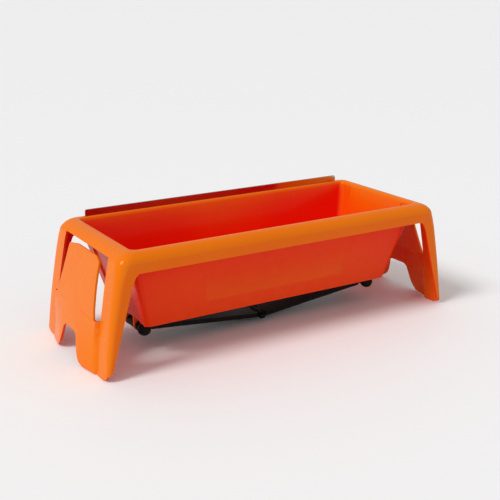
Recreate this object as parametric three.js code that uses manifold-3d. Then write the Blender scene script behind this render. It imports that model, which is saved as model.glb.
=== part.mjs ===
// Hand filling tray: a long moulded trough that stands on two end panels, with a steel
// scraper strip along its back rim and a hinged rubber hand strap under its floor.
// Millimetres. +X runs along the tray, +Y to the back, +Z up. The origin is on the surface
// that the feet stand on, under the middle of the trough.

import * as THREE from 'three';
import { mergeVertices } from 'three/addons/utils/BufferGeometryUtils.js';
import Module from 'manifold-3d';

const wasm = await Module();
wasm.setup();

// ---------------------------------------------------------------- driving dimensions

const RIM_TOP = 128; // height of the rim above the feet
const WALL = 2.6; // thickness of the moulding
const GAP = 0.3; // between pieces that meet
const FIT = 0.15; // between a bar and the bore it is pushed into
const OPENING = { halfLength: 179.5, halfWidth: 69.5, corner: 9 };
const LIP = { radius: 3.2, chamfer: 1.2, joint: 4 }; // inner edge of the rim
const FLAT = { halfLength: 182.7, halfWidth: 74.7, corner: 4 }; // outer edge of the rim's top
const END_ROUND = { reach: 16.3, drop: 13 }; // quarter ellipse over the rim's ends
const SIDE_ROUND = { reach: 10.5, drop: 10.5 }; // quarter circle along its sides
const SKIRT_DEPTH = 20.5;
const TROUGH = { halfLength: 156.3, halfWidth: 48.8, depth: 94, corner: 3 };
const PANEL_TOP = 9.1; // depth below the rim at which an end panel begins
const PANEL_GAP = 0.8; // between the rim's slanting edge and the panel
const LEG = { halfWidth: 85.2, footRise: 5 };
const PLATE_BOTTOM = 125.3; // the plate between the legs ends above the ground
const SLIT_BOTTOM = 72;
const NOTCH_TOP = 95.5;
const TONGUE_TOP = 12.5;
const BLADE = { halfLength: 171.3, above: 7.6, below: 17, thick: 1.5, front: 73.2, corner: 2.5 };
const SCREW = { shank: 1.2, head: 3, headHeight: 1.8, depth: 11.5, spacing: 100, bury: 3.6 };
const BOSS = { radius: 4, from: 68 };
const ROD = { radius: 3, reach: 149.5, drop: 104.4, halfLength: 25.5 };
const BALL = { radius: 7.4, offset: 25, collar: 0.8 };
const LUG = { from: 9, thick: 4, radius: 6, clearance: 0.4 };
const STRAP = { halfWidth: 22, neckHalfWidth: 17.2, thick: 5.4, barrel: 5.6, knuckle: 4.4 };
const PIN = { radius: 2, drop: 119.5, halfLength: 25.5, play: 0.9 };
const CAP = { radius: 4.4, mouth: 20.6, tip: 27, edge: 0.8 };

// Straight-line interpolation through [place, value] stations.
function stations(...points) {
  return (place) => {
    const next = points.findIndex(([at]) => at >= place);
    if (next === 0) return points[0][1];
    if (next < 0) return points[points.length - 1][1];
    const [from, low] = points[next - 1];
    const [to, high] = points[next];
    return low + ((high - low) * (place - from)) / (to - from);
  };
}

// Shape of an end panel, as functions of the depth below the rim. The plate between the
// slits stands proud of the corner legs, and its lower part bows back to meet them.
const plateX = stations([PANEL_TOP, 201], [60, 214.2], [95, 222.4], [109, 225], [RIM_TOP, 226.5]);
const legX = stations([PANEL_TOP, 199.8], [20, 202.4], [63, 210.2], [96, 215.2], [RIM_TOP, 218.5]);
const bow = stations([62, 0], [95, 1]);
const legCorner = stations([PANEL_TOP, 8], [100, 6], [RIM_TOP, 3.5]); // radius in plan
const flangeX = stations([SKIRT_DEPTH, 180], [33, 187.5], [57, 194.2], [108, 208.8], [RIM_TOP, 213]);
const tongueY = stations([15, 40.3], [39, 43.2], [60, 47.8], [SLIT_BOTTOM, 51.5]);
const slitY = stations([PANEL_TOP, 57.5], [SLIT_BOTTOM, 59.2]);
const notchY = stations([NOTCH_TOP, 11], [99, 16.5], [114, 22], [121, 26], [RIM_TOP, 35]);
const RISER = { top: 54, foot: 57, height: 2.5, bowFrom: 28 }; // |y| where the plate steps back

function endX(y, depth) {
  const across = Math.abs(y);
  if (across >= RISER.foot) return legX(depth);
  const edgeX = legX(depth) + RISER.height;
  const bowed = stations([RISER.bowFrom, 0], [RISER.top, 1])(across) * bow(depth);
  const plate = plateX(depth) + (edgeX - plateX(depth)) * bowed;
  return plate + (legX(depth) - plate) * stations([RISER.top, 0], [RISER.foot, 1])(across);
}

// ---------------------------------------------------------------- building blocks

function colour(hex, roughness, metalness = 0) {
  return new THREE.MeshStandardMaterial({ color: hex, roughness, metalness });
}

const orange = () => colour(0xd8500f, 0.3);
const steel = () => colour(0xb8babd, 0.25, 1);
const rubber = () => colour(0x202322, 0.6);

function toSolid(geometry) {
  const bare = geometry.clone();
  bare.deleteAttribute('normal');
  bare.deleteAttribute('uv');
  const merged = mergeVertices(bare, 1e-4);
  return new wasm.Manifold(new wasm.Mesh({
    numProp: 3,
    vertProperties: new Float32Array(merged.attributes.position.array),
    triVerts: new Uint32Array(merged.index.array),
  }));
}

function toGeometry(solid) {
  const mesh = solid.getMesh();
  const geometry = new THREE.BufferGeometry();
  const points = new Float32Array(mesh.vertProperties);
  geometry.setAttribute('position', new THREE.BufferAttribute(points, 3));
  geometry.setIndex(new THREE.BufferAttribute(new Uint32Array(mesh.triVerts), 1));
  geometry.computeVertexNormals();
  return geometry;
}

function add(first, ...others) {
  return toGeometry(others.reduce((sum, other) => sum.add(toSolid(other)), toSolid(first)));
}

function subtract(first, ...others) {
  return toGeometry(others.reduce((rest, other) => rest.subtract(toSolid(other)), toSolid(first)));
}

function meshFrom(points, faces) {
  const geometry = new THREE.BufferGeometry();
  const array = new Float32Array(points.flatMap((p) => [p.x, p.y, p.z]));
  geometry.setAttribute('position', new THREE.BufferAttribute(array, 3));
  geometry.setIndex(faces);
  geometry.computeVertexNormals();
  return geometry;
}

// Points of a rounded rectangle at one height, counter-clockwise seen from above.
function roundedRing(halfLength, halfWidth, corner, z, arcSteps = 4) {
  const ring = [];
  const centres = [[1, 1], [-1, 1], [-1, -1], [1, -1]];
  centres.forEach(([sx, sy], quarter) => {
    for (let step = 0; step <= arcSteps; step += 1) {
      const angle = (quarter + step / arcSteps) * (Math.PI / 2);
      ring.push(new THREE.Vector3(
        sx * (halfLength - corner) + corner * Math.cos(angle),
        sy * (halfWidth - corner) + corner * Math.sin(angle),
        z,
      ));
    }
  });
  return ring;
}

// Skin over a stack of rings. Either the last ring joins the first, or both ends are capped.
function loft(rings, endless) {
  const count = rings[0].length;
  const points = rings.flat();
  const faces = [];
  const bands = endless ? rings.length : rings.length - 1;
  for (let band = 0; band < bands; band += 1) {
    const low = band * count;
    const high = ((band + 1) % rings.length) * count;
    for (let i = 0; i < count; i += 1) {
      const j = (i + 1) % count;
      faces.push(low + i, low + j, high + j, low + i, high + j, high + i);
    }
  }
  if (!endless) {
    for (const [start, forward] of [[0, false], [(rings.length - 1) * count, true]]) {
      const centre = new THREE.Vector3();
      points.slice(start, start + count).forEach((p) => centre.addScaledVector(p, 1 / count));
      points.push(centre);
      for (let i = 0; i < count; i += 1) {
        const pair = [start + i, start + ((i + 1) % count)];
        faces.push(points.length - 1, ...(forward ? pair : pair.reverse()));
      }
    }
  }
  return meshFrom(points, faces);
}

// A plate of varying shape: two grids of points, its outside and its inside, joined along
// every free edge of the cells that are kept.
function plateFromGrids(outside, inside, keep, flipped) {
  const rows = outside.length;
  const columns = outside[0].length;
  const points = [...outside.flat(), ...inside.flat()];
  const outer = (row, column) => row * columns + column;
  const inner = (row, column) => rows * columns + outer(row, column);
  const kept = (row, column) => (
    row >= 0 && column >= 0 && row < rows - 1 && column < columns - 1 && keep(row, column)
  );
  const faces = [];
  const quad = (a, b, c, d) => faces.push(...(flipped ? [a, c, b, a, d, c] : [a, b, c, a, c, d]));
  // The wall between the two grids along one side of a cell.
  const wall = ([r0, c0], [r1, c1]) => quad(outer(r0, c0), inner(r0, c0), inner(r1, c1), outer(r1, c1));
  for (let r = 0; r < rows - 1; r += 1) {
    for (let c = 0; c < columns - 1; c += 1) {
      if (!kept(r, c)) continue;
      quad(outer(r, c), outer(r + 1, c), outer(r + 1, c + 1), outer(r, c + 1));
      quad(inner(r, c), inner(r, c + 1), inner(r + 1, c + 1), inner(r + 1, c));
      if (!kept(r - 1, c)) wall([r, c + 1], [r, c]);
      if (!kept(r + 1, c)) wall([r + 1, c], [r + 1, c + 1]);
      if (!kept(r, c - 1)) wall([r, c], [r + 1, c]);
      if (!kept(r, c + 1)) wall([r + 1, c + 1], [r, c + 1]);
    }
  }
  const geometry = meshFrom(points, faces);
  geometry.deleteAttribute('normal');
  return mergeVertices(geometry, 1e-4);
}

function boxBetween(low, high) {
  const size = high.map((value, i) => value - low[i]);
  const geometry = new THREE.BoxGeometry(...size);
  return geometry.translate(...low.map((value, i) => value + size[i] / 2));
}

// A round bar along Y.
function barAlongY(radius, fromY, toY, x, z, sides = 20) {
  const geometry = new THREE.CylinderGeometry(radius, radius, toY - fromY, sides);
  return geometry.translate(x, (fromY + toY) / 2, z);
}

// An outline drawn in X and Z, made thick along Y.
function extrudeAlongY(shape, fromY, toY, curveSegments = 8) {
  const options = { depth: toY - fromY, bevelEnabled: false, curveSegments };
  const geometry = new THREE.ExtrudeGeometry(shape, options);
  return geometry.rotateX(Math.PI / 2).translate(0, toY, 0);
}

// ---------------------------------------------------------------- the moulding

const screwX = [-1.5, -0.5, 0.5, 1.5].map((step) => step * SCREW.spacing);
const screwZ = RIM_TOP - SCREW.depth;
const rodZ = RIM_TOP - ROD.drop;
const pinZ = RIM_TOP - PIN.drop;
const floorZ = RIM_TOP - TROUGH.depth;

function troughShell() {
  const { joint } = LIP;
  const slopeX = (OPENING.halfLength - TROUGH.halfLength + WALL) / (TROUGH.depth - WALL);
  const slopeY = (OPENING.halfWidth - TROUGH.halfWidth + WALL) / (TROUGH.depth - WALL);
  const innerX = OPENING.halfLength - joint * slopeX;
  const innerY = OPENING.halfWidth - joint * slopeY;
  const { halfLength, halfWidth, corner } = TROUGH;
  return loft([
    roundedRing(halfLength, halfWidth, corner, floorZ),
    roundedRing(innerX + WALL, innerY + WALL, OPENING.corner + WALL, RIM_TOP - joint),
    roundedRing(innerX, innerY, OPENING.corner, RIM_TOP - joint),
    roundedRing(halfLength - WALL, halfWidth - WALL, corner - 1, floorZ + WALL),
  ], false);
}

function lug(x, fromY) {
  const shape = new THREE.Shape();
  const rise = floorZ + 1 - rodZ;
  shape.moveTo(LUG.radius, rise);
  shape.lineTo(-LUG.radius, rise);
  shape.lineTo(-LUG.radius, 0);
  shape.absarc(0, 0, LUG.radius, Math.PI, 2 * Math.PI, false);
  shape.closePath();
  return extrudeAlongY(shape, fromY, fromY + LUG.thick).translate(x, 0, rodZ);
}

function trough() {
  const lugs = [];
  const bores = [];
  const lugEnd = LUG.from + LUG.thick;
  for (const x of [-ROD.reach, ROD.reach]) {
    lugs.push(lug(x, LUG.from), lug(x, -lugEnd));
    bores.push(barAlongY(ROD.radius + FIT, -lugEnd - 1, lugEnd + 1, x, rodZ));
  }
  const bosses = screwX.map((x) => (
    barAlongY(BOSS.radius, BOSS.from, BLADE.front - GAP, x, screwZ, 16)
  ));
  const pilots = screwX.map((x) => (
    barAlongY(SCREW.shank + FIT, BLADE.front - SCREW.bury - GAP, BLADE.front + 1, x, screwZ, 12)
  ));
  return subtract(add(troughShell(), ...lugs, ...bosses), ...bores, ...pilots);
}

// How far a rounded edge has come out at a depth, when it starts at the given depth.
function roundOut({ reach, drop }, depth, start) {
  const share = (depth - start) / (drop - start);
  return (reach - start) * Math.sqrt(1 - (1 - share) ** 2);
}

function rimRings(start) {
  const steps = 4;
  return Array.from({ length: steps + 1 }, (_, step) => {
    const depth = start + (PANEL_TOP - start) * (step / steps) ** 2;
    const outX = roundOut(END_ROUND, depth, start);
    const outY = roundOut(SIDE_ROUND, depth, start);
    const corner = FLAT.corner + outY * 0.8;
    return roundedRing(FLAT.halfLength + outX, FLAT.halfWidth + outY, corner, RIM_TOP - depth);
  });
}

function rim() {
  const { halfLength, halfWidth, corner } = OPENING;
  const { radius, chamfer, joint } = LIP;
  const lip = (out, depth) => roundedRing(halfLength + out, halfWidth + out, corner, RIM_TOP - depth);
  const above = [lip(GAP - 1.1, joint - GAP), lip(0, chamfer), lip(radius - 1, 0), ...rimRings(0)];
  const below = [...rimRings(WALL).reverse(), lip(radius, WALL), lip(1.8, joint - GAP)];
  const ring = loft([...above, ...below].reverse(), true);
  const reach = flangeX(0) - GAP;
  const skirt = (side) => boxBetween(
    [-reach, side > 0 ? LEG.halfWidth - WALL : -LEG.halfWidth, RIM_TOP - SKIRT_DEPTH],
    [reach, side > 0 ? LEG.halfWidth : WALL - LEG.halfWidth, RIM_TOP - PANEL_TOP + 1],
  );
  const slot = boxBetween(
    [-BLADE.halfLength - GAP, BLADE.front - GAP, RIM_TOP - joint * 2],
    [BLADE.halfLength + GAP, BLADE.front + BLADE.thick + GAP, RIM_TOP + 1],
  );
  return subtract(add(ring, skirt(1), skirt(-1)), slot);
}

// The columns of an end panel on the +X side, from front to back. A column gives its place
// at a depth, moved in by an inset, and the depth at which it ends.
function panelColumns() {
  const corner = (side, degrees) => {
    const angle = THREE.MathUtils.degToRad(degrees);
    const at = (depth, inset) => {
      const full = legCorner(depth);
      const radius = full - inset;
      const y = LEG.halfWidth - full + radius * Math.cos(angle);
      return [legX(depth) - full + radius * Math.sin(angle), side * y];
    };
    return { at, bottom: RIM_TOP - LEG.footRise * Math.cos(angle) };
  };
  const across = (side, width, bottom) => ({
    at: (depth, inset) => {
      const y = side * width(depth);
      return [endX(y, depth) - inset, y];
    },
    bottom,
  });
  const flange = (side) => ({
    at: (depth, inset) => [flangeX(depth), side * (LEG.halfWidth - inset)],
    bottom: RIM_TOP - LEG.footRise,
  });
  const half = (side) => [
    flange(side),
    ...[0, 30, 60, 90].map((degrees) => corner(side, degrees)),
    across(side, slitY, RIM_TOP),
    across(side, () => RISER.foot, RIM_TOP),
    across(side, () => RISER.top, PLATE_BOTTOM),
    across(side, tongueY, PLATE_BOTTOM),
    across(side, notchY, PLATE_BOTTOM),
  ];
  return [...half(-1), across(1, () => 0, PLATE_BOTTOM), ...half(1).reverse()];
}

function endPanel(side) {
  const columns = panelColumns();
  const middle = (columns.length - 1) / 2;
  const slitColumn = 5;
  const notchColumn = 9;
  const depths = [
    PANEL_TOP + PANEL_GAP, 20, 33, 45, 57, 66, SLIT_BOTTOM,
    85, NOTCH_TOP, 99, 106, 114, 121, RIM_TOP,
  ];
  const keep = (row, column) => {
    const fromEdge = column < middle ? column : columns.length - 2 - column;
    if (depths[row] < SLIT_BOTTOM) return fromEdge < slitColumn;
    if (depths[row] >= NOTCH_TOP) return fromEdge < notchColumn;
    return true;
  };
  const grid = (inset) => depths.map((depth) => columns.map(({ at, bottom }) => {
    const reached = Math.min(depth, bottom);
    const [x, y] = at(reached, inset);
    return new THREE.Vector3(side * x, y, RIM_TOP - reached);
  }));
  return plateFromGrids(grid(0), grid(WALL), keep, side < 0);
}

// The springy tongue between the slits. Its top corners are cut, the back one wider.
function tongue(side) {
  const cuts = { front: 7, back: 10, drop: 3.5 };
  const depths = [TONGUE_TOP, 24, 33, 45, 57, 66, SLIT_BOTTOM - GAP];
  const places = [
    (width) => -width,
    (width) => -width + cuts.front,
    () => 0,
    (width) => width - cuts.back,
    (width) => width,
  ];
  const drop = [cuts.drop, 0, 0, 0, cuts.drop];
  const grid = (inset) => depths.map((depth, row) => places.map((place, column) => {
    const below = depth + (row === 0 ? drop[column] : 0);
    const y = place(tongueY(depth));
    return new THREE.Vector3(side * (endX(y, below) - inset), y, RIM_TOP - below);
  }));
  return plateFromGrids(grid(0), grid(WALL), () => true, side < 0);
}

// ---------------------------------------------------------------- scraper strip and screws

function scraperBlade() {
  const { halfLength, above, below, corner } = BLADE;
  const outline = new THREE.Shape();
  outline.moveTo(-halfLength, -below);
  outline.lineTo(halfLength, -below);
  outline.lineTo(halfLength, above - corner);
  outline.absarc(halfLength - corner, above - corner, corner, 0, Math.PI / 2, false);
  outline.lineTo(-halfLength + corner, above);
  outline.absarc(-halfLength + corner, above - corner, corner, Math.PI / 2, Math.PI, false);
  outline.closePath();
  for (const x of screwX) {
    const hole = new THREE.Path();
    hole.absarc(x, -SCREW.depth, SCREW.shank + GAP, 0, 2 * Math.PI, true);
    outline.holes.push(hole);
  }
  return extrudeAlongY(outline, BLADE.front, BLADE.front + BLADE.thick, 12).translate(0, 0, RIM_TOP);
}

function bladeScrew() {
  const { shank, head, headHeight, bury } = SCREW;
  const profile = [
    [0, -bury - BLADE.thick],
    [shank, -bury - BLADE.thick],
    [shank, GAP],
    [head, GAP],
    [head, headHeight * 0.7],
    [head * 0.6, headHeight + GAP],
    [0, headHeight + GAP],
  ].map(([r, y]) => new THREE.Vector2(r, y));
  return new THREE.LatheGeometry(profile, 16);
}

// ---------------------------------------------------------------- hand strap

// A round knob turned about Y, with a pocket for the bar that it is pushed onto.
function knob(radius, pocketRadius, mouth, pocketEnd, steps) {
  const profile = [new THREE.Vector2(0, pocketEnd), new THREE.Vector2(pocketRadius, pocketEnd)];
  profile.push(new THREE.Vector2(pocketRadius, mouth));
  const start = Math.asin(mouth / radius);
  for (let i = 0; i <= steps; i += 1) {
    const angle = start + ((Math.PI / 2 - start) * i) / steps;
    const r = i === steps ? 0 : radius * Math.cos(angle);
    profile.push(new THREE.Vector2(r, radius * Math.sin(angle)));
  }
  return new THREE.LatheGeometry(profile, 20);
}

function ballKnob() {
  const pocket = ROD.radius + FIT;
  const mouth = -Math.sqrt(BALL.radius ** 2 - (pocket + BALL.collar) ** 2);
  return knob(BALL.radius, pocket, mouth, ROD.halfLength - BALL.offset + GAP, 10);
}

function pinCap() {
  const steps = 6;
  const pocketEnd = PIN.halfLength + GAP - CAP.mouth;
  const profile = [
    [0, pocketEnd],
    [PIN.radius + FIT, pocketEnd],
    [PIN.radius + FIT, 0],
    [CAP.radius - CAP.edge, 0],
  ].map(([r, y]) => new THREE.Vector2(r, y));
  const dome = CAP.tip - CAP.mouth - CAP.edge;
  for (let i = 0; i <= steps; i += 1) {
    const angle = (Math.PI / 2) * (i / steps);
    const r = i === steps ? 0 : CAP.radius * Math.cos(angle);
    profile.push(new THREE.Vector2(r, CAP.edge + dome * Math.sin(angle)));
  }
  return new THREE.LatheGeometry(profile, 16);
}

const strapSlope = Math.atan2(PIN.drop - ROD.drop, ROD.reach);
const strapLength = Math.hypot(PIN.drop - ROD.drop, ROD.reach);

// Which stretches of Y each half fills at the middle hinge, and beside the lugs.
const middleTeeth = {
  left: [[-20, -14.3], [-5, 5], [14.3, 20]],
  right: [[-14, -5.3], [5.3, 14]],
};
const outsideLugs = LUG.from + LUG.thick + LUG.clearance;
const betweenLugs = LUG.from - LUG.clearance;
const endTeeth = [
  [-STRAP.neckHalfWidth, -outsideLugs],
  [-betweenLugs, betweenLugs],
  [outsideLugs, STRAP.neckHalfWidth],
];

// One half of the strap, lying along +X from the middle hinge at 0 to the end rod.
function strapHalf(teeth) {
  const { halfWidth, neckHalfWidth, thick, barrel, knuckle } = STRAP;
  const half = thick / 2;
  const start = knuckle + PIN.play + 0.7;
  const neck = strapLength - BALL.radius - 2;
  const rootEnd = strapLength - LUG.radius - 1.5;
  const solids = [
    boxBetween([start, -halfWidth, -half], [neck, halfWidth, half]),
    boxBetween([neck - 1, -neckHalfWidth, -half], [rootEnd, neckHalfWidth, half]),
  ];
  for (const [from, to] of teeth) {
    solids.push(boxBetween([0, from, -half], [start + 1, to, half]));
    solids.push(barAlongY(knuckle, from, to, 0, 0));
  }
  for (const [from, to] of endTeeth) {
    solids.push(boxBetween([rootEnd - 1, from, -half], [strapLength, to, half]));
    solids.push(barAlongY(barrel, from, to, strapLength, 0));
  }
  const [body, ...rest] = solids;
  return subtract(
    add(body, ...rest),
    barAlongY(PIN.radius + PIN.play, -halfWidth - 1, halfWidth + 1, 0, 0),
    barAlongY(ROD.radius + GAP, -halfWidth - 1, halfWidth + 1, strapLength, 0),
  );
}

// ---------------------------------------------------------------- assembly

const tray = new THREE.Group();

function place(name, geometry, material, parent = tray) {
  const mesh = new THREE.Mesh(geometry, material);
  mesh.name = name;
  parent.add(mesh);
  return mesh;
}

place('trough', trough(), orange());
place('rim', rim(), orange());
for (const [name, side] of [['left', -1], ['right', 1]]) {
  place(`end_panel_${name}`, endPanel(side), orange());
  place(`spring_tongue_${name}`, tongue(side), orange());
}

place('scraper_blade', scraperBlade(), steel());
screwX.forEach((x, i) => {
  const screw = place(`blade_screw_${i + 1}`, bladeScrew(), steel());
  screw.position.set(x, BLADE.front + BLADE.thick, screwZ);
});

for (const [name, side] of [['left', -1], ['right', 1]]) {
  const rod = barAlongY(ROD.radius, -ROD.halfLength, ROD.halfLength, 0, 0);
  place(`end_rod_${name}`, rod, steel()).position.set(side * ROD.reach, 0, rodZ);
  for (const [end, way] of [['front', -1], ['back', 1]]) {
    const ball = place(`ball_knob_${name}_${end}`, ballKnob(), rubber());
    ball.position.set(side * ROD.reach, way * BALL.offset, rodZ);
    ball.rotation.x = way > 0 ? 0 : Math.PI;
  }
  const strap = new THREE.Group();
  strap.position.z = pinZ;
  strap.rotation.z = side > 0 ? 0 : Math.PI;
  const tilt = new THREE.Group();
  tilt.rotation.y = -strapSlope;
  strap.add(tilt);
  tray.add(strap);
  place(`strap_half_${name}`, strapHalf(middleTeeth[name]), rubber(), tilt);
}

place('centre_pin', barAlongY(PIN.radius, -PIN.halfLength, PIN.halfLength, 0, 0), steel())
  .position.z = pinZ;
for (const [end, way] of [['front', -1], ['back', 1]]) {
  const cap = place(`pin_cap_${end}`, pinCap(), rubber());
  cap.position.set(0, way * CAP.mouth, pinZ);
  cap.rotation.x = way > 0 ? 0 : Math.PI;
}

export default tray;
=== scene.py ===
"""Hand filling tray in glossy orange plastic, with a steel scraper strip and a rubber hand strap.

The tray's skin is one grid of rings, from the floor up the walls, over the rim and down the end
panels. Rings are placed by their depth below the rim. Named sizes are in mm, and MM turns them into
metres; boxes from the frame are in metres already.
"""

import math

import bmesh
import bpy
from mathutils import Matrix, Vector


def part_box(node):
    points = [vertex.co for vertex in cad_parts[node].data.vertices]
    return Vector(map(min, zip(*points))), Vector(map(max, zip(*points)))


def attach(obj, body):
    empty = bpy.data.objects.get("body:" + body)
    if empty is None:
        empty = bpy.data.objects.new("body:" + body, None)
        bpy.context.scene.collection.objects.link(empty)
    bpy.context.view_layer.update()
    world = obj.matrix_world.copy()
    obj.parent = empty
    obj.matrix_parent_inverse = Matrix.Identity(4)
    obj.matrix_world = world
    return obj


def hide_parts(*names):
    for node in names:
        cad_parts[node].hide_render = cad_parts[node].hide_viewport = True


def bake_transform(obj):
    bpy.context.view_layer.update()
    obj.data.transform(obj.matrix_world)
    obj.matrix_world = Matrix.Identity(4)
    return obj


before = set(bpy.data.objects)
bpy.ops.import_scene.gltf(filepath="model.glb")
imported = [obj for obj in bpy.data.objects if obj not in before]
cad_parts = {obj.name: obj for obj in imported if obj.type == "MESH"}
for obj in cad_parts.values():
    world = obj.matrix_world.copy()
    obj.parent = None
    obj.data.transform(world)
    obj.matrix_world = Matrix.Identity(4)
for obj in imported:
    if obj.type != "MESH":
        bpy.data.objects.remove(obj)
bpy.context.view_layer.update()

MM = 0.001

# ------------------------------------------------------------------ sizes, from the frame

RIM_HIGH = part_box("rim")[1]
PANEL_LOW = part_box("end_panel_right")[0]
BLADE_LOW, BLADE_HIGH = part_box("scraper_blade")
PIN_LOW, PIN_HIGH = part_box("centre_pin")
ROD_LOW, ROD_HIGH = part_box("end_rod_right")
BALL_LOW, BALL_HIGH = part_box("ball_knob_right_front")
STRAP_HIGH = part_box("strap_half_right")[1]

# In mm: a half size is (half length, half width), and a depth is measured down from the rim's top.
RIM_TOP = RIM_HIGH.z / MM
FOOT_DEPTH = RIM_TOP - PANEL_LOW.z / MM
WALL = 2.6
FLOOR_HALF = (153.7, 46.2)
FLOOR_DEPTH = 91.4
FLOOR_CORNER = 2.5
OPENING_HALF = (179.5, 69.5)
OPENING_CORNER = 5
LIP_RADIUS = 3.2
LIP_LEAN = 16  # degrees by which the walls lean, where the lip's arc begins
LIP_DEPTH = 4  # where the wall ends below the lip
LIP_INSET = 1.1  # how far inside the opening it ends
FLAT_HALF = (182.7, 74.7)
FLAT_CORNER = 9
END_ROUND = (16.3, 13.0)  # reach and drop of the round shoulder at the rim's ends
SIDE_ROUND = (10.5, 10.5)  # and along its sides
RIM_CORNER = 11.5
SKIRT_DEPTH = 20.5
SKIRT_HALF = 180
PANEL_TOP = 9.1
PLATE_BOTTOM = 126.4
NOTCH_TOP = 95.5
NOTCH_TOP_HALF = 11
TONGUE_TOP = 12.5
TONGUE_TOP_HALF = 40
SLIT_BOTTOM = 72.0
SLIT_TOP_HALF = 57.5
BOW_FROM = 28.0  # |y| at which the lower plate starts to bow
RISER_TOP = 56.2  # |y| at which the lower plate steps back to the leg
RISER_HEIGHT = 2.8
LEG_Y = -PANEL_LOW.y / MM


def curve(*knots):
    """Smooth interpolation through (depth, value) knots, in millimetres."""

    def slope(i):
        low = knots[max(i - 1, 0)]
        high = knots[min(i + 1, len(knots) - 1)]
        return (high[1] - low[1]) / (high[0] - low[0])

    def at(depth):
        if depth <= knots[0][0]:
            return knots[0][1]
        for i in range(len(knots) - 1):
            (x0, y0), (x1, y1) = knots[i], knots[i + 1]
            if depth <= x1:
                t = (depth - x0) / (x1 - x0)
                span = x1 - x0
                a = (1 + 2 * t) * (1 - t) ** 2 * y0 + t * (1 - t) ** 2 * span * slope(i)
                return a + t * t * (3 - 2 * t) * y1 + t * t * (t - 1) * span * slope(i + 1)
        return knots[-1][1]

    return at


def lines(*knots):
    """Straight-line interpolation through (place, value) knots."""

    def at(place):
        if place <= knots[0][0]:
            return knots[0][1]
        for (x0, y0), (x1, y1) in zip(knots, knots[1:]):
            if place <= x1:
                return y0 + (y1 - y0) * (place - x0) / (x1 - x0)
        return knots[-1][1]

    return at


plate_x = curve((PANEL_TOP, 200.5), (27, 206), (60, 214.2), (95, 222.4), (120, 226.3), (FOOT_DEPTH, 226.5))
leg_x = curve((PANEL_TOP, 199.8), (20, 202.4), (63, 210.2), (96, 215.2), (FOOT_DEPTH, 218.5))
leg_corner = lines((PANEL_TOP, RIM_CORNER), (28, 8.5), (100, 6), (FOOT_DEPTH, 3.6))
flange_x = lines(
    (SKIRT_DEPTH, SKIRT_HALF), (24, 183.5), (33, 187.5), (57, 194.2), (108.5, 208.8), (FOOT_DEPTH, 214),
)
tongue_y = curve((15, 40.3), (39.4, 43.2), (60.2, 47.8), (SLIT_BOTTOM, 51.5))
slit_y = lines((PANEL_TOP, SLIT_TOP_HALF), (SLIT_BOTTOM, 59.2))
notch_y = lines(
    (NOTCH_TOP, NOTCH_TOP_HALF), (96.5, 14), (99, 16.8), (107, 19.5),
    (114, 22), (121, 26), (124.5, 31), (FOOT_DEPTH, 38),
)
bow = lines((62, 0), (95, 1))  # share of the lower plate's bow that a depth has


def end_x(y, depth):
    """How far out the end panel's face is: a plate that bows back, steps down, and the legs."""
    across = abs(y)
    foot = slit_y(depth)
    if across >= foot:
        return leg_x(depth)
    bowed = lines((BOW_FROM, 0), (RISER_TOP, 1))(across) * bow(depth)
    plate = plate_x(depth)
    plate += (leg_x(depth) + RISER_HEIGHT - plate) * bowed
    return plate + (leg_x(depth) - plate) * lines((RISER_TOP, 0), (foot, 1))(across)


# ------------------------------------------------------------------ mesh helpers

def new_object(name, mesh):
    piece = bpy.data.objects.new(name, mesh)
    bpy.context.scene.collection.objects.link(piece)
    return piece


def from_bmesh(name, bm):
    mesh = bpy.data.meshes.new(name)
    bm.normal_update()
    bm.to_mesh(mesh)
    bm.free()
    return new_object(name, mesh)


def apply_modifiers(piece):
    evaluated = piece.evaluated_get(bpy.context.evaluated_depsgraph_get())
    mesh = bpy.data.meshes.new_from_object(evaluated)
    piece.modifiers.clear()
    piece.data = mesh


def shade(piece, sharp_degrees=38):
    for polygon in piece.data.polygons:
        polygon.use_smooth = True
    piece.data.set_sharp_from_angle(angle=math.radians(sharp_degrees))
    weighted = piece.modifiers.new("weighted", "WEIGHTED_NORMAL")
    weighted.keep_sharp = True


def is_sharp(edge, angle):
    return angle > math.radians(50)


def bevel_edges(piece, offset, segments, wanted):
    """Rounds the edges for which wanted(edge, angle) holds."""
    bm = bmesh.new()
    bm.from_mesh(piece.data)
    chosen = []
    for edge in bm.edges:
        if len(edge.link_faces) == 2 and wanted(edge, edge.calc_face_angle(0)):
            chosen.append(edge)
    bmesh.ops.bevel(
        bm, geom=chosen, offset=offset, offset_type="OFFSET", segments=segments,
        profile=0.5, affect="EDGES", clamp_overlap=True,
    )
    bm.to_mesh(piece.data)
    bm.free()


# ------------------------------------------------------------------ the tray's skin

CORNER_STEPS = 6
LIP_STEPS = 4
SHOULDER_STEPS = 10
SHOULDER_START = 0.05  # share of the shoulder's turn that the flat takes
SLOT_HALF = BLADE_HIGH.x / MM + 0.3
WALL_ROWS = (FLOOR_DEPTH, 77, 74, 60, 44, 28, 25, 14, LIP_DEPTH)
INNER_FLANGE = 0.972  # share of the straight side at which the flange's column stands, inside
OUTER_FLANGE = 0.962  # and outside


def level(depth, half, corner, flange):
    """A ring of the trough or rim: its depth, half sizes, corner radius and flange column's share."""
    return {"depth": depth, "half": half, "corner": corner, "flange": flange}


def wall_levels():
    """The inside of the trough, from its floor to just under the rim."""
    levels = []
    for depth in WALL_ROWS:
        share = (FLOOR_DEPTH - depth) / (FLOOR_DEPTH - LIP_DEPTH)
        half = tuple(f + (o - LIP_INSET - f) * share for f, o in zip(FLOOR_HALF, OPENING_HALF))
        corner = FLOOR_CORNER + (OPENING_CORNER - FLOOR_CORNER) * share
        levels.append(level(depth, half, corner, INNER_FLANGE))
    return levels


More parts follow.
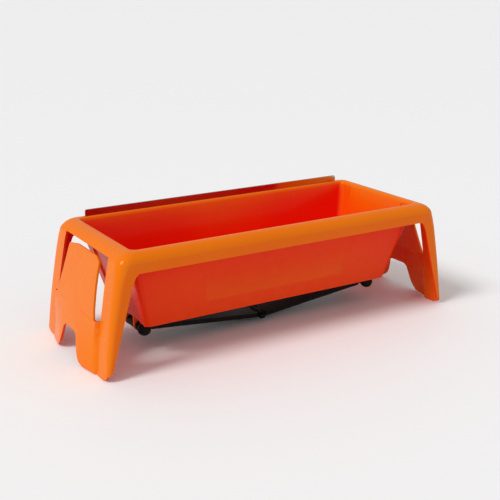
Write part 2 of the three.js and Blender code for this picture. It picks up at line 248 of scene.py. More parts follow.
def lip_levels():
    """Over the opening's rounded edge, up to the narrow flat."""
    levels = []
    lean = math.radians(LIP_LEAN)
    for step in range(LIP_STEPS + 1):
        share = step / LIP_STEPS
        angle = lean + (math.pi / 2 - lean) * share
        out = LIP_RADIUS * (1 - math.cos(angle))
        half = tuple(o + out for o in OPENING_HALF)
        depth = LIP_RADIUS * (1 - math.sin(angle))
        corner = OPENING_CORNER + (FLAT_CORNER - OPENING_CORNER) * share
        slot_flange = SLOT_HALF / (half[0] - corner)
        flange = INNER_FLANGE + (slot_flange - INNER_FLANGE) * share
        levels.append(level(depth, half, corner, flange))
    return levels


def shoulder_levels():
    """From the flat down the rounded shoulder, to the top of the end panels."""
    levels = []
    last = math.acos(1 - PANEL_TOP / END_ROUND[1])
    for step in range(SHOULDER_STEPS + 1):
        angle = last * (SHOULDER_START + (1 - SHOULDER_START) * step / SHOULDER_STEPS)
        depth = END_ROUND[1] * (1 - math.cos(angle))
        rounds = (END_ROUND, SIDE_ROUND)
        outs = [reach * math.sqrt(1 - (1 - depth / drop) ** 2) for reach, drop in rounds]
        half = tuple(f + out for f, out in zip(FLAT_HALF, outs))
        corner = OPENING_CORNER + (RIM_CORNER - OPENING_CORNER) * outs[1] / SIDE_ROUND[0]
        flange = SLOT_HALF / (half[0] - corner) if step == 0 else OUTER_FLANGE
        levels.append(level(depth, half, corner, flange))
    return levels


FLARE = 1.6
FLARE_FROM = 2


def flare(depth):
    """How much further out the rim is above a leg than above the middle of the end."""
    share = min(max((depth - FLARE_FROM) / (PANEL_TOP - FLARE_FROM), 0), 1)
    return FLARE * share ** 1.5


# The depths of the end panels' rows: under the rim, beside the slits, on the plate, around the notch.
SKIRT_ROWS = (10, 11.5, 13, 16.5, SKIRT_DEPTH, 22, 24, 28.5, 33)
SLIT_ROWS = (40, 48, 57, 66, SLIT_BOTTOM)
PLATE_ROWS = (75, 79, 86, 92)
NOTCH_ROWS = (NOTCH_TOP, 96.5, 99, 103, 107, 111, 114, 118, 121, 124.5, FOOT_DEPTH)
PANEL_ROWS = SKIRT_ROWS + SLIT_ROWS + PLATE_ROWS + NOTCH_ROWS
FOOT_FROM = 108.0


def to_bottom(depth, bottom):
    """Squeezes the lowest depths so that a column ends at its own bottom."""
    if depth <= FOOT_FROM:
        return depth
    return FOOT_FROM + (depth - FOOT_FROM) * (bottom - FOOT_FROM) / (FOOT_DEPTH - FOOT_FROM)


# How far above the foot's lowest point the leg's edges end, because the foot's outline is rounded.
INNER_RISE = 1
FACE_RISE = 0.5
CORNER_RISE = 3.2
TURN_RISE = 5.3
FLANGE_RISE = 9.2
LEG_FACE = (63, 73)
NOTCH_BORDER = 4

# The columns of an end panel: how far each is from the middle, and where it ends.
PANEL_COLUMNS = (
    (lambda depth: 0, PLATE_BOTTOM),
    (notch_y, PLATE_BOTTOM),
    (lambda depth: max(BOW_FROM, notch_y(depth) + NOTCH_BORDER), PLATE_BOTTOM),
    (tongue_y, PLATE_BOTTOM),
    (lambda depth: RISER_TOP, PLATE_BOTTOM),
    (slit_y, FOOT_DEPTH - INNER_RISE),
    (lambda depth: LEG_FACE[0], FOOT_DEPTH),
    (lambda depth: LEG_FACE[1], FOOT_DEPTH - FACE_RISE),
)


def panel_points(depth):
    """Points (x, y, depth) of an end panel, from its middle to the edge of its flange."""
    points = []
    for width, bottom in PANEL_COLUMNS:
        reached = to_bottom(depth, bottom)
        y = width(reached)
        points.append((end_x(y, reached), y, reached))
    for step in range(CORNER_STEPS + 1):
        angle = math.pi / 2 * step / CORNER_STEPS
        reached = to_bottom(depth, FOOT_DEPTH - CORNER_RISE - TURN_RISE * math.sin(angle))
        corner = leg_corner(reached)
        x = leg_x(reached) - corner * (1 - math.cos(angle))
        points.append((x, LEG_Y - corner * (1 - math.sin(angle)), reached))
    reached = to_bottom(depth, FOOT_DEPTH - FLANGE_RISE)
    points.append((SKIRT_HALF if depth <= SKIRT_DEPTH else flange_x(reached), LEG_Y, reached))
    return points


# The same columns on the rim: above the end panel's plate, and above its leg.
PLATE_PLACES = (0, NOTCH_TOP_HALF, BOW_FROM, TONGUE_TOP_HALF, RISER_TOP)
LEG_PLACES = (SLIT_TOP_HALF, LEG_FACE[0], 72.5)
PLACES_END = 73.2  # half width that these places need; on a narrower ring they move together


def tray_points(ring):
    """The same stretch of a ring of the trough or the rim."""
    depth = ring["depth"]
    corner = ring["corner"]
    centre = tuple(h - corner for h in ring["half"])
    spread = min(1, centre[1] / PLACES_END)
    out = flare(depth)
    points = [(ring["half"][0], y * spread, depth) for y in PLATE_PLACES]
    points += [(ring["half"][0] + out, y * spread, depth) for y in LEG_PLACES]
    for step in range(CORNER_STEPS + 1):
        angle = math.pi / 2 * step / CORNER_STEPS
        x = centre[0] + (corner + out) * math.cos(angle)
        points.append((x, centre[1] + corner * math.sin(angle), depth))
    points.append((centre[0] * ring["flange"], ring["half"][1], depth))
    return points


# The front wall's shallow trapezoid: its step inwards, and its outline in shares of the side's length.
RECESS = 1.6
RECESS_TOP, RECESS_BOTTOM = 27, 74
RECESS_HALF = 0.615
RECESS_EDGE = 0.022
SIDE_SHARES = (0.82, RECESS_HALF + RECESS_EDGE, RECESS_HALF, 0.3, 0)
NARROWING = 0.07 / 60  # share lost for each mm of depth
NARROWING_FROM = 20


def quarter(ring):
    """Points (x, y, depth) of one quarter, from the middle of the end to the middle of the back."""
    on_panel = "panel" in ring
    depth = ring["depth"]
    points = panel_points(depth) if on_panel else tray_points(ring)
    side_half = SKIRT_HALF if on_panel else points[-1][0]
    side_y = points[-1][1]
    narrowing = 1 if on_panel else 1 - NARROWING * (depth - NARROWING_FROM)
    for share in SIDE_SHARES:
        points.append((side_half * share * narrowing, side_y, depth))
    return points


NOTCH_COLUMN = 1
SLIT_COLUMN = 5
FLANGE_COLUMN = len(PANEL_COLUMNS) + CORNER_STEPS + 1
RECESS_EDGE_COLUMN = FLANGE_COLUMN + 2
BACK_QUADRANTS = (0, 1)


def tray_levels():
    panel = [{"depth": depth, "panel": True} for depth in PANEL_ROWS]
    return wall_levels() + lip_levels() + shoulder_levels() + panel


def ring_of(ring, recess):
    """The whole ring, counter-clockwise from above, from its quarter mirrored twice."""
    points = quarter(ring)
    last = len(points) - 1
    whole = []
    for quadrant in range(4):
        mirror_x = -1 if quadrant in (1, 2) else 1
        mirror_y = -1 if quadrant in (2, 3) else 1
        for k in range(last):
            column = k if quadrant % 2 == 0 else last - k
            x, y, depth = points[column]
            if recess and mirror_y < 0 and column > RECESS_EDGE_COLUMN:
                y -= recess
            whole.append(Vector((mirror_x * x, mirror_y * y, RIM_TOP - depth)) * MM)
    return whole


def is_open(depth, cell):
    """True where an end panel has a slit or a notch, and between the legs below the skirt."""
    if depth < SLIT_BOTTOM and cell < SLIT_COLUMN:
        return True
    if depth >= NOTCH_TOP and cell < NOTCH_COLUMN:
        return True
    return depth >= SKIRT_DEPTH and cell >= FLANGE_COLUMN


def skin_rings(bm, levels):
    rings = []
    for ring in levels:
        recessed = RECESS_TOP < ring["depth"] < RECESS_BOTTOM and "panel" not in ring
        rings.append([bm.verts.new(p) for p in ring_of(ring, RECESS if recessed else 0)])
    return rings


def tray_skin():
    """The visible side of the moulding, with its slits, notches and slot left open."""
    levels = tray_levels()
    bm = bmesh.new()
    rings = skin_rings(bm, levels)
    columns = len(rings[0])
    last = columns // 4
    slot_row = len(wall_levels()) + LIP_STEPS
    first_panel_row = slot_row + SHOULDER_STEPS + 1
    for row in range(len(rings) - 1):
        for column in range(columns):
            quadrant, k = divmod(column, last)
            cell = k if quadrant % 2 == 0 else last - 1 - k
            in_slot = row == slot_row and quadrant in BACK_QUADRANTS and cell >= FLANGE_COLUMN
            if in_slot or (row >= first_panel_row and is_open(levels[row]["depth"], cell)):
                continue
            across = (column + 1) % columns
            bm.faces.new((
                rings[row][column], rings[row + 1][column],
                rings[row + 1][across], rings[row][across],
            ))
    bm.faces.new(rings[0])
    loose = [v for v in bm.verts if not v.link_faces]
    bmesh.ops.delete(bm, geom=loose, context="VERTS")
    return from_bmesh("tray_shell", bm)


def thicken(piece, thickness=WALL):
    solid = piece.modifiers.new("wall", "SOLIDIFY")
    solid.thickness = thickness * MM
    solid.offset = -1
    solid.use_even_offset = True
    solid.thickness_clamp = 0
    apply_modifiers(piece)


def at_tongue_root(edge):
    """True for the edges where a tongue grows out of its end panel."""
    root = (RIM_TOP - SLIT_BOTTOM) * MM
    reach = (tongue_y(SLIT_BOTTOM) + 0.1) * MM
    margin = 1.2 * MM
    return all(
        abs(v.co.z - root) < margin and abs(v.co.y) < reach and abs(v.co.x) > SKIRT_HALF * MM
        for v in edge.verts
    )


FLOOR_EDGE = 1.3  # radius of the edge between floor and walls
EDGE = 0.75  # radius of the moulding's other edges


def make_tray():
    piece = tray_skin()
    thicken(piece)
    floor_high = (RIM_TOP - FLOOR_DEPTH + 0.5) * MM
    floor_reach = 165 * MM

    def is_floor(edge):
        return all(v.co.z < floor_high and abs(v.co.x) < floor_reach for v in edge.verts)

    def is_other(edge):
        return not is_floor(edge) and not at_tongue_root(edge)

    bevel_edges(piece, FLOOR_EDGE * MM, 3, lambda e, a: is_sharp(e, a) and is_floor(e))
    bevel_edges(piece, EDGE * MM, 3, lambda e, a: is_sharp(e, a) and is_other(e))
    shade(piece)
    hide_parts("trough", "rim", "end_panel_left", "end_panel_right")
    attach(piece, "root")
    return piece


LUG_RADIUS = 6
LUG_WIDTH = 4
LUG_PLACES = (-13, 9)
LUG_SINK = 0.6  # how far a lug goes into the floor


def make_lug(name, side, low_y):
    """A rounded tab under the trough's floor, with the end rod through it."""
    rod_x = side * (ROD_LOW.x + ROD_HIGH.x) / 2
    rod_z = (ROD_LOW.z + ROD_HIGH.z) / 2
    radius = LUG_RADIUS * MM
    top = (RIM_TOP - FLOOR_DEPTH - WALL + LUG_SINK) * MM
    outline = [(rod_x + radius, top), (rod_x - radius, top)]
    outline += arc(rod_x, rod_z, radius, 180, 360, 24)
    piece = extruded(name, outline, low_y * MM, (low_y + LUG_WIDTH) * MM)
    bevel_edges(piece, SMALL_EDGE * MM, 2, is_sharp)
    shade(piece)
    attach(piece, "root")
    return piece


BOSS_RADIUS = 4
BOSS_FRONT = 68.4  # inside the back wall's thickness
BOSS_GAP = 0.3


def make_boss(name, number):
    """The socket behind the back wall that a strip screw goes into."""
    low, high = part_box(f"blade_screw_{number}")
    radius = BOSS_RADIUS * MM
    front = BOSS_FRONT * MM
    back = BLADE_LOW.y - BOSS_GAP * MM
    profile = [(0, front), (radius, front), (radius, back), (0, back)]
    piece = turned(name, profile, 32)
    piece.data.transform(Matrix.Translation(((low.x + high.x) / 2, 0, (low.z + high.z) / 2)))
    bevel_edges(piece, SMALL_EDGE * MM, 2, is_sharp)
    shade(piece)
    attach(piece, "root")
    return piece


TONGUE_ROWS = (TONGUE_TOP, 19, 26, 33, 40, 48, 57, 62, 66, 69, SLIT_BOTTOM)
TONGUE_CUT = 4  # how far its top corners are cut down


def tongue_places(depth, at_top):
    """Places (y, drop) across a row of the tongue.

    The top row drops at both ends: over a short corner in front and a long one at the back.
    """
    width = tongue_y(depth)
    places = (-width, -width + 9, -width + 12, 0, 18, 22, width - 1, width)
    drops = (TONGUE_CUT, 0.3, 0, 0, 0, 0.4, TONGUE_CUT - 0.6, TONGUE_CUT)
    return [(y, drop if at_top else 0) for y, drop in zip(places, drops)]


def make_tongue(name, side):
    """The springy plate between the slits, with both its top corners cut off."""
    bm = bmesh.new()
    rows = []
    for depth in TONGUE_ROWS:
        points = []
        for y, drop in tongue_places(depth, depth == TONGUE_TOP):
            x = side * end_x(y, depth + drop)
            points.append(bm.verts.new(Vector((x, y, RIM_TOP - depth - drop)) * MM))
        rows.append(points)
    for low, high in zip(rows, rows[1:]):
        for i in range(len(low) - 1):
            quad = (low[i], high[i], high[i + 1], low[i + 1])
            bm.faces.new(quad if side > 0 else quad[::-1])
    piece = from_bmesh(name, bm)
    thicken(piece)
    bevel_edges(piece, EDGE * MM, 3, lambda e, a: is_sharp(e, a) and not at_tongue_root(e))
    shade(piece)
    return piece


def make_tongues():
    pieces = []
    for name, side in (("left", -1), ("right", 1)):
        piece = make_tongue(f"tongue_{name}_plate", side)
        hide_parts(f"spring_tongue_{name}")
        x = side * plate_x(SLIT_BOTTOM) * MM
        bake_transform(piece)
        pieces.append(piece)
    return pieces


# ------------------------------------------------------------------ metal and rubber pieces

SMALL_EDGE = 0.4


def extruded(name, outline, low_y, high_y):
    """A closed outline of (x, z) points made thick along Y."""
    bm = bmesh.new()
    front = [bm.verts.new((x, low_y, z)) for x, z in outline]
    back = [bm.verts.new((x, high_y, z)) for x, z in outline]
    bm.faces.new(front)
    bm.faces.new(back[::-1])
    for i in range(len(outline)):
        j = (i + 1) % len(outline)
        bm.faces.new((front[j], front[i], back[i], back[j]))
    bmesh.ops.recalc_face_normals(bm, faces=bm.faces)
    return from_bmesh(name, bm)


def arc(centre_x, centre_z, radius, start, end, steps):
    """Points of an arc in X and Z, angles in degrees."""
    points = []
    for i in range(steps + 1):
        angle = math.radians(start + (end - start) * i / steps)
        points.append((centre_x + radius * math.cos(angle), centre_z + radius * math.sin(angle)))
    return points


def turned(name, profile, segments=48):
    """A body of revolution about Y. The profile's (radius, y) points start and end on the axis."""
    bm = bmesh.new()
    rings = []
    for radius, y in profile:
        if radius == 0:
            rings.append([bm.verts.new((0, y, 0))])
            continue
        turn = [2 * math.pi * i / segments for i in range(segments)]
        rings.append([bm.verts.new((radius * math.cos(a), y, radius * math.sin(a))) for a in turn])
    for low, high in zip(rings, rings[1:]):
        for i in range(segments):
            j = (i + 1) % segments
            quad = [low[i % len(low)], low[j % len(low)], high[j % len(high)], high[i % len(high)]]
            distinct = list(dict.fromkeys(quad))
            bm.faces.new(distinct)
    bmesh.ops.recalc_face_normals(bm, faces=bm.faces)
    return from_bmesh(name, bm)


STRIP_CORNER = 2.5
STRIP_EDGE = 0.22


def make_blade():
    radius = STRIP_CORNER * MM
    low, high = BLADE_LOW, BLADE_HIGH
    outline = [(low.x, low.z), (high.x, low.z)]
    outline += arc(high.x - radius, high.z - radius, radius, 0, 90, 8)
    outline += arc(low.x + radius, high.z - radius, radius, 90, 180, 8)
    piece = extruded("scraper_strip", outline, low.y, high.y)
    bevel_edges(piece, STRIP_EDGE * MM, 2, is_sharp)
    shade(piece)
    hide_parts("scraper_blade")
    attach(piece, "root")
    return piece


SCREW_SEAT = 0.1  # gap between the strip and the screw's head
SCREW_SIDE = 0.8  # height of the head's straight side
SCREW_DIMPLE = 0.9
SCREW_SHANK = 0.4  # shares of the head's radius: the shank, and the dimple at its top and bottom
DIMPLE_TOP = 0.22
DIMPLE_BOTTOM = 0.18
SCREW_EDGE = 0.15


def screw_profile(low, high):
    """Half the outline of a round-headed screw with a dimple in its head, as (radius, y)."""
    head = (high.x - low.x) / 2
    shank = head * SCREW_SHANK
    seat = BLADE_HIGH.y + SCREW_SEAT * MM
    side = seat + SCREW_SIDE * MM
    profile = [(0, low.y), (shank, low.y), (shank, seat), (head, seat), (head, side)]
    profile += [(head * x, side + (high.y - side) * z) for x, z in arc(0, 0, 1, 15, 75, 4)]
    dimple = high.y - SCREW_DIMPLE * MM
    profile += [(head * DIMPLE_TOP, high.y), (head * DIMPLE_BOTTOM, dimple), (0, dimple - 0.1 * MM)]
    return profile


def make_screw(number):
    low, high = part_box(f"blade_screw_{number}")
    piece = turned(f"strip_screw_{number}", screw_profile(low, high), 32)
    centre = (low + high) / 2
    piece.data.transform(Matrix.Translation((centre.x, 0, centre.z)))
    bevel_edges(piece, SCREW_EDGE * MM, 2, is_sharp)
    shade(piece)
    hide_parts(f"blade_screw_{number}")
    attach(piece, "root")
    return piece


def place_turned(piece, centre, way):
    """Turns a body of revolution to point along way * Y, and moves it to its centre."""
    if way < 0:
        piece.data.transform(Matrix.Rotation(math.pi, 4, "Z"))
    piece.data.transform(Matrix.Translation(centre))


ROD_CHAMFER = 0.6


def make_rod(name, node, body):
    low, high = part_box(node)
    radius = (high.x - low.x) / 2
    half = (high.y - low.y) / 2
    chamfer = ROD_CHAMFER * MM
    profile = [
        (0, -half), (radius - chamfer, -half), (radius, -half + chamfer),
        (radius, half - chamfer), (radius - chamfer, half), (0, half),
    ]
    piece = turned(name, profile, 32)
    place_turned(piece, (low + high) / 2, 1)
    shade(piece)
    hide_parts(node)
    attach(piece, body)
    return piece


POCKET_CLEARANCE = 0.15
KNOB_POCKET_END = 0.8  # how far past the knob's middle the rod's pocket goes
KNOB_COLLAR = 1.3
KNOB_LIP = 0.9
KNOB_SINK = 0.5  # how far the knob's middle is in from the rod's end
MOULD_LINE = 0.072
MOULD_LINE_WIDTH = 0.5


def knob_profile():
    """Half the outline of a knob: the rod's pocket, its mouth, and a ball with a faint mould line."""
    radius = (BALL_HIGH.x - BALL_LOW.x) / 2
    pocket = (ROD_HIGH.x - ROD_LOW.x) / 2 + POCKET_CLEARANCE * MM
    pocket_end = KNOB_POCKET_END * MM
    start = -math.degrees(math.acos((pocket + KNOB_COLLAR * MM) / radius))
    mouth = radius * math.sin(math.radians(start))
    profile = [(0, pocket_end), (pocket, pocket_end), (pocket, mouth), (pocket + KNOB_LIP * MM, mouth)]
    for r, y in arc(0, 0, radius, start + 4, 84, 22):
        line = MOULD_LINE * MM * math.exp(-((y / (MOULD_LINE_WIDTH * MM)) ** 2))
        profile.append((r - line, y))
    profile.append((0, radius))
    return profile


def make_ball(name, node, way):
    """A hard rubber ball, pushed on the end of its rod."""
    piece = turned(name, knob_profile(), 48)
    low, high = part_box(node)
    y = way * (ROD_HIGH.y - KNOB_SINK * MM)
    centre = Vector(((low.x + high.x) / 2, y, (low.z + high.z) / 2))
    place_turned(piece, centre, way)
    shade(piece)
    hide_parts(node)
    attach(piece, "root")
    return piece


CAP_CROWN = 1.4  # thickness between the pin's end and the cap's top
CAP_SIDE = 0.8
CAP_EDGE = 0.25


def cap_profile(radius, length):
    """Half the outline of a pin cap: the pin's pocket, a flat foot and a rounded top."""
    pocket = (PIN_HIGH.x - PIN_LOW.x) / 2 + POCKET_CLEARANCE * MM
    pocket_end = length - CAP_CROWN * MM
    side = CAP_SIDE * MM
    edge = CAP_EDGE * MM
    profile = [(0, pocket_end), (pocket, pocket_end), (pocket, 0), (radius - side, 0)]
    profile.append((radius - edge, edge))
    profile += [(radius * r, side + (length - side) * y) for r, y in arc(0, 0, 1, 5, 85, 12)]
    profile.append((0, length))
    return profile


def make_cap(name, node, way):
    """The rounded nub on the end of the middle pin."""
    low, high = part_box(node)
    piece = turned(name, cap_profile((high.x - low.x) / 2, high.y - low.y), 32)
    inner = min(abs(low.y), abs(high.y))
    place_turned(piece, Vector(((low.x + high.x) / 2, way * inner, (low.z + high.z) / 2)), way)
    shade(piece)
    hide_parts(node)
    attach(piece, "strap_centre")
    return piece


def cut_or_join(piece, others, operation):
    """Joins or cuts piece with the other pieces, which are then removed."""
    for other in others:
        boolean = piece.modifiers.new("boolean", "BOOLEAN")
        boolean.operation = operation
        boolean.solver = "EXACT"
        boolean.object = other
    apply_modifiers(piece)
    for other in others:
        bpy.data.objects.remove(other)


STRAP_HALF_WIDTH = STRAP_HIGH.y / MM
STRAP_THICK = 5.2
STRAP_EDGE = 0.55
NECK_HALF_WIDTH = 17.2
NECK_LENGTH = 8.3  # from the end rod back to the full width
SHOULDER_CUT = (2.5, 1.5)
MIDDLE_EYE = (4, 2.8)  # radius of the eye about the middle pin, and of its bore
END_EYE = (5.6, 3.3)  # and about the end rod
MIDDLE_GAP = 1.5  # between the eye and the plate's edge
END_GAP = 1.8
TOOTH_OVERLAP = 1
BORE_POINTS = 48
MIDDLE_TEETH = {
    "left": ((-20, -14.3), (-5, 5), (14.3, 20)),
    "right": ((-14, -5.3), (5.3, 14)),
}
END_TEETH = ((-NECK_HALF_WIDTH, -13.4), (-8.6, 8.6), (13.4, NECK_HALF_WIDTH))


def tooth(low_y, high_y, eye_x, radius, root_x):
    """A strap tooth: a round eye about the hinge line, with its arm to the strap's plate."""
    half = STRAP_THICK / 2
    lean = math.degrees(math.asin(half / radius))
    if root_x > eye_x:
        outline = arc(eye_x, 0, radius, lean, 360 - lean, 20)
        outline += [(root_x, -half), (root_x, half)]
    else:
        outline = arc(eye_x, 0, radius, 180 + lean, 540 - lean, 20)
        outline += [(root_x, half), (root_x, -half)]
    outline = [(x * MM, z * MM) for x, z in outline]
    return extruded("tooth", outline, low_y * MM, high_y * MM)


def strap_plate(name, length):
    """The flat of a strap half, which narrows to a neck before its end rod."""
    start = MIDDLE_EYE[0] + MIDDLE_GAP
    neck = length - NECK_LENGTH
    root = length - END_EYE[0] - END_GAP
    width, narrow = STRAP_HALF_WIDTH, NECK_HALF_WIDTH
    cut_x, cut_y = SHOULDER_CUT
    half_plan = [(root, narrow), (neck, narrow)]
    half_plan += [(neck, width - cut_y), (neck - cut_x, width), (start, width)]
    plan = [(x, -y) for x, y in half_plan[::-1]] + half_plan
    half = STRAP_THICK / 2
    plate = extruded("plate", [(x * MM, y * MM) for x, y in plan], -half * MM, half * MM)
    plate.data.transform(Matrix.Rotation(math.pi / 2, 4, "X"))
    teeth = [tooth(a, b, 0, MIDDLE_EYE[0], start + TOOTH_OVERLAP) for a, b in MIDDLE_TEETH[name]]
    teeth += [tooth(a, b, length, END_EYE[0], root - TOOTH_OVERLAP) for a, b in END_TEETH]
    cut_or_join(plate, teeth, "UNION")
    return plate


def cut_bores(plate, length):
    bores = []
    turn = 360 - 360 / BORE_POINTS
    for centre, radius in ((0, MIDDLE_EYE[1]), (length, END_EYE[1])):
        outline = [(x * MM, z * MM) for x, z in arc(centre, 0, radius, 0, turn, BORE_POINTS - 1)]
        bores.append(extruded("bore", outline, -STRAP_HALF_WIDTH * MM, STRAP_HALF_WIDTH * MM))
    cut_or_join(plate, bores, "DIFFERENCE")


def make_strap(name, side):
    """Half of the strap: a plate with hinge teeth at the middle pin and at its end rod."""
    drop = (ROD_LOW.z + ROD_HIGH.z - PIN_LOW.z - PIN_HIGH.z) / 2 / MM
    reach = (ROD_LOW.x + ROD_HIGH.x) / 2 / MM
    length = math.hypot(drop, reach)
    plate = strap_plate(name, length)
    cut_bores(plate, length)
    plate.name = f"strap_{name}_link"
    bevel_edges(plate, STRAP_EDGE * MM, 2, is_sharp)
    plate.data.transform(Matrix.Rotation(-math.atan2(drop, reach), 4, "Y"))
    if side < 0:
        plate.data.transform(Matrix.Rotation(math.pi, 4, "Z"))
    plate.data.transform(Matrix.Translation((0, 0, (PIN_LOW.z + PIN_HIGH.z) / 2)))
    shade(plate)
    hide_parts(f"strap_half_{name}")
    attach(plate, f"strap_{name}")
    return plate


# ------------------------------------------------------------------ materials

def node_tree(name):
    material = bpy.data.materials.new(name)
    material.use_nodes = True
    nodes = material.node_tree.nodes
    return material, nodes, material.node_tree.links, nodes["Principled BSDF"]


def noise(nodes, links, coords, scale, detail=4.0, roughness=0.5):
    texture = nodes.new("ShaderNodeTexNoise")
    texture.inputs["Scale"].default_value = scale
    texture.inputs["Detail"].default_value = detail
    texture.inputs["Roughness"].default_value = roughness
    links.new(coords, texture.inputs["Vector"])
    return texture.outputs["Fac"]


def spread(nodes, links, value, low, high, from_low=0.3, from_high=0.7):
    """Maps a noise value to a range."""
    node = nodes.new("ShaderNodeMapRange")
    node.inputs["From Min"].default_value = from_low
    node.inputs["From Max"].default_value = from_high
    node.inputs["To Min"].default_value = low
    node.inputs["To Max"].default_value = high
    links.new(value, node.inputs["Value"])
    return node.outputs["Result"]


def calculate(nodes, links, operation, *values):
    """A clamped sum, product or absolute value of sockets and plain numbers."""
    node = nodes.new("ShaderNodeMath")
    node.operation = operation
    node.use_clamp = True
    for socket, value in zip(node.inputs, values):
        if isinstance(value, float):
            socket.default_value = value
        else:
            links.new(value, socket)
    return node.outputs["Value"]


def bump(nodes, links, height, strength, distance, shader, before=None):
    node = nodes.new("ShaderNodeBump")
    node.inputs["Strength"].default_value = strength
    node.inputs["Distance"].default_value = distance
    links.new(height, node.inputs["Height"])
    if before is not None:
        links.new(before.outputs["Normal"], node.inputs["Normal"])
    if shader is not None:
        links.new(node.outputs["Normal"], shader.inputs["Normal"])
    return node


def mixed_colour(nodes, links, factor, low, high):
    """Mixes two colours, each a plain (red, green, blue) or a socket."""
    node = nodes.new("ShaderNodeMix")
    node.data_type = "RGBA"
    links.new(factor, node.inputs["Factor"])
    for side, colour in (("A", low), ("B", high)):
        if isinstance(colour, tuple):
            node.inputs[side].default_value = (*colour, 1)
        else:
            links.new(colour, node.inputs[side])
    return node.outputs["Result"]


def object_coords(nodes):
    return nodes.new("ShaderNodeTexCoord").outputs["Object"]


PAINTED_SHADE_REACH = 0.16  # metres over which the plastic's own walls count as near, for the painted shade in the hollow
END_PAINTED_LIGHT = 0.42  # painted light that a face which looks along the tray's length gains


def painted_light_and_shade(nodes, links):
    """Painted light and shade: 1 on open faces, and less in the hollow and on faces that look down, where
    shade is painted.
    """
    hollow = nodes.new("ShaderNodeAmbientOcclusion")
    hollow.only_local = True
    hollow.inputs["Distance"].default_value = PAINTED_SHADE_REACH
    # painted shade in the hollow, taken from ambient occlusion
    painted_light_share = spread(nodes, links, hollow.outputs["AO"], 0, 1, 0.58, 0.98)
    normal = nodes.new("ShaderNodeSeparateXYZ")
    links.new(nodes.new("ShaderNodeNewGeometry").outputs["Normal"], normal.inputs["Vector"])
    # painted shade on faces that look down
    painted_light_from_above = spread(nodes, links, normal.outputs["Z"], 0.25, 1, -0.24, 0.08)
    # painted light on faces that look along the tray's length, towards the key light
    endways = calculate(nodes, links, "ABSOLUTE", normal.outputs["X"])
    painted_end_light = calculate(nodes, links, "MULTIPLY", endways, END_PAINTED_LIGHT)
    painted_light_share = calculate(nodes, links, "ADD", painted_light_share, painted_end_light)
    return calculate(nodes, links, "MULTIPLY", painted_light_share, painted_light_from_above)


def orange_plastic():
    """Glossy orange plastic, with painted shade that turns it deep red in the hollow and on faces that
    look down, and painted light on faces that look along the tray.
    """
    material, nodes, links, shader = node_tree("orange_moulded_plastic")
    coords = object_coords(nodes)
    tone = spread(nodes, links, noise(nodes, links, coords, 9), 0, 1)
    # painted light and painted shade: a lit orange and a shaded deep red copy of the same plastic
    painted_lit_colour = mixed_colour(nodes, links, tone, (0.83, 0.172, 0.002), (0.86, 0.19, 0.003))
    painted_shade_colour = mixed_colour(nodes, links, tone, (0.86, 0.007, 0.001), (0.90, 0.010, 0.001))
    # the two copies are mixed by the painted light and shade mask
    colour = mixed_colour(nodes, links, painted_light_and_shade(nodes, links), painted_shade_colour, painted_lit_colour)
    links.new(colour, shader.inputs["Base Color"])
    haze = spread(nodes, links, noise(nodes, links, coords, 60, 6), 0.2, 0.34)
    links.new(haze, shader.inputs["Roughness"])
    shader.inputs["IOR"].default_value = 1.49
    shader.inputs["Specular Tint"].default_value = (1.0, 0.4, 0.12, 1)
    shader.inputs["Specular IOR Level"].default_value = 0.06
    shader.inputs["Coat Weight"].default_value = 0.2
    shader.inputs["Coat Roughness"].default_value = 0.12
    wave = bump(nodes, links, noise(nodes, links, coords, 14, 2), 0.06, 0.001, None)
    bump(nodes, links, noise(nodes, links, coords, 900, 2), 0.05, 0.0002, shader, wave)
    return material


def brushed_steel():
    material, nodes, links, shader = node_tree("polished_steel_strip")
    coords = object_coords(nodes)
    stretch = nodes.new("ShaderNodeMapping")
    stretch.inputs["Scale"].default_value = (2, 1500, 1500)
    links.new(coords, stretch.inputs["Vector"])
    grain = noise(nodes, links, stretch.outputs["Vector"], 1, 4)
    links.new(spread(nodes, links, grain, 0.07, 0.13), shader.inputs["Roughness"])
    tone = spread(nodes, links, grain, 0, 1)
    colour = mixed_colour(nodes, links, tone, (0.5, 0.5, 0.5), (0.6, 0.6, 0.6))
    links.new(colour, shader.inputs["Base Color"])
    shader.inputs["Metallic"].default_value = 1
    bump(nodes, links, grain, 0.15, 0.0001, shader)
    return material


def plain_steel():
    material, nodes, links, shader = node_tree("zinc_plated_steel")
    coords = object_coords(nodes)
    cloud = noise(nodes, links, coords, 260, 5)
    links.new(spread(nodes, links, cloud, 0.28, 0.45), shader.inputs["Roughness"])
    tone = spread(nodes, links, cloud, 0, 1)
    colour = mixed_colour(nodes, links, tone, (0.42, 0.42, 0.43), (0.55, 0.55, 0.54))
    links.new(colour, shader.inputs["Base Color"])
    shader.inputs["Metallic"].default_value = 1
    bump(nodes, links, cloud, 0.1, 0.0001, shader)
    return material


def black_rubber(name, low, high, rough_low, rough_high, grain_scale):
    """Rubber between two dark colours, with a roughness range and a fine grain."""
    material, nodes, links, shader = node_tree(name)
    coords = object_coords(nodes)
    dust = noise(nodes, links, coords, 40, 6, 0.6)
    colour = mixed_colour(nodes, links, spread(nodes, links, dust, 0, 1), low, high)
    links.new(colour, shader.inputs["Base Color"])
    links.new(spread(nodes, links, dust, rough_low, rough_high), shader.inputs["Roughness"])
    shader.inputs["Specular IOR Level"].default_value = 0.12
    bump(nodes, links, noise(nodes, links, coords, grain_scale, 3), 0.25, 0.0002, shader)
    return material


def dress(piece, material):
    piece.data.materials.clear()
    piece.data.materials.append(material)


# ------------------------------------------------------------------ the pieces

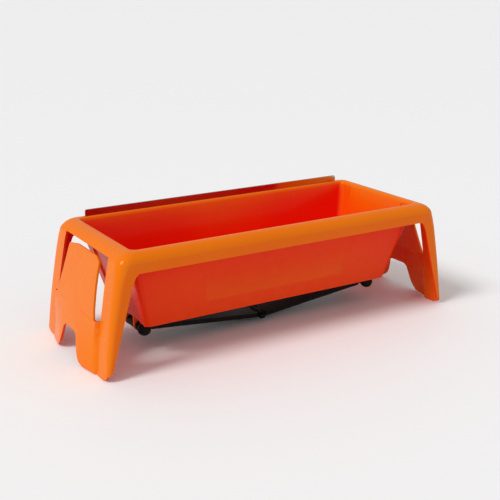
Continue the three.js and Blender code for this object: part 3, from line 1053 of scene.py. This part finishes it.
def build():
    orange = orange_plastic()
    strip_steel = brushed_steel()
    bar_steel = plain_steel()
    strap_rubber = black_rubber(
        "strap_rubber", (0.003, 0.004, 0.0035), (0.007, 0.007, 0.0065), 0.4, 0.55, 1400,
    )
    knob_rubber = black_rubber(
        "hard_rubber", (0.002, 0.004, 0.003), (0.005, 0.007, 0.006), 0.35, 0.5, 900,
    )
    dress(make_tray(), orange)
    for piece in make_tongues():
        dress(piece, orange)
    dress(make_blade(), strip_steel)
    for number in (1, 2, 3, 4):
        dress(make_screw(number), bar_steel)
        dress(make_boss(f"screw_boss_{number}", number), orange)
    for name, side in (("left", -1), ("right", 1)):
        dress(make_rod(f"rod_{name}", f"end_rod_{name}", "root"), bar_steel)
        dress(make_strap(name, side), strap_rubber)
        for number, low_y in enumerate(LUG_PLACES, 1):
            dress(make_lug(f"rod_lug_{name}_{number}", side, low_y), orange)
        for end, way in (("front", -1), ("back", 1)):
            node = f"ball_knob_{name}_{end}"
            dress(make_ball(f"knob_{name}_{end}", node, way), knob_rubber)
    dress(make_rod("hinge_pin", "centre_pin", "strap_centre"), bar_steel)
    for end, way in (("front", -1), ("back", 1)):
        dress(make_cap(f"nub_{end}", f"pin_cap_{end}", way), knob_rubber)


build()

# ------------------------------------------------------------------ studio

def make_floor():
    bpy.ops.mesh.primitive_plane_add(size=400)
    floor = bpy.context.object
    floor.name = "studio_floor"
    material, _, _, shader = node_tree("pale_floor")
    shader.inputs["Base Color"].default_value = (0.95, 0.95, 0.95, 1)
    shader.inputs["Roughness"].default_value = 0.6
    floor.data.materials.append(material)


def make_sun(name, toward, power, angle_degrees):
    """A broad soft light from far away; toward is the direction in which the light is seen."""
    data = bpy.data.lights.new(name, "SUN")
    data.energy = power
    data.angle = math.radians(angle_degrees)
    lamp = new_object(name, data)
    lamp.rotation_euler = Vector(toward).to_track_quat("Z", "Y").to_euler()


def make_world(strength):
    world = bpy.data.worlds.new("studio")
    bpy.context.scene.world = world
    world.use_nodes = True
    background = world.node_tree.nodes["Background"]
    background.inputs["Color"].default_value = (1, 1, 1, 1)
    background.inputs["Strength"].default_value = strength


CAMERA_AIM = (-2.4, 0, RIM_TOP - 46.7)
CAMERA_DISTANCE = 1.0432
CAMERA_LENS = 65.42


def make_camera():
    """The photograph's view, from the left of the front and a little above."""
    azimuth, elevation = math.radians(-31.47), math.radians(17.0)
    back = Vector((
        math.sin(azimuth) * math.cos(elevation),
        -math.cos(azimuth) * math.cos(elevation),
        math.sin(elevation),
    ))
    data = bpy.data.cameras.new("camera")
    data.sensor_width = 36
    data.lens = CAMERA_LENS
    camera = new_object("camera", data)
    camera.location = Vector(CAMERA_AIM) * MM + back * CAMERA_DISTANCE
    camera.rotation_euler = (-back).to_track_quat("-Z", "Y").to_euler()
    bpy.context.scene.camera = camera


make_floor()
make_world(0.53)
make_sun("key_left", (-1.0, -0.1, 1.1), 1.8, 20)
make_camera()
bpy.context.scene.view_settings.view_transform = "Standard"
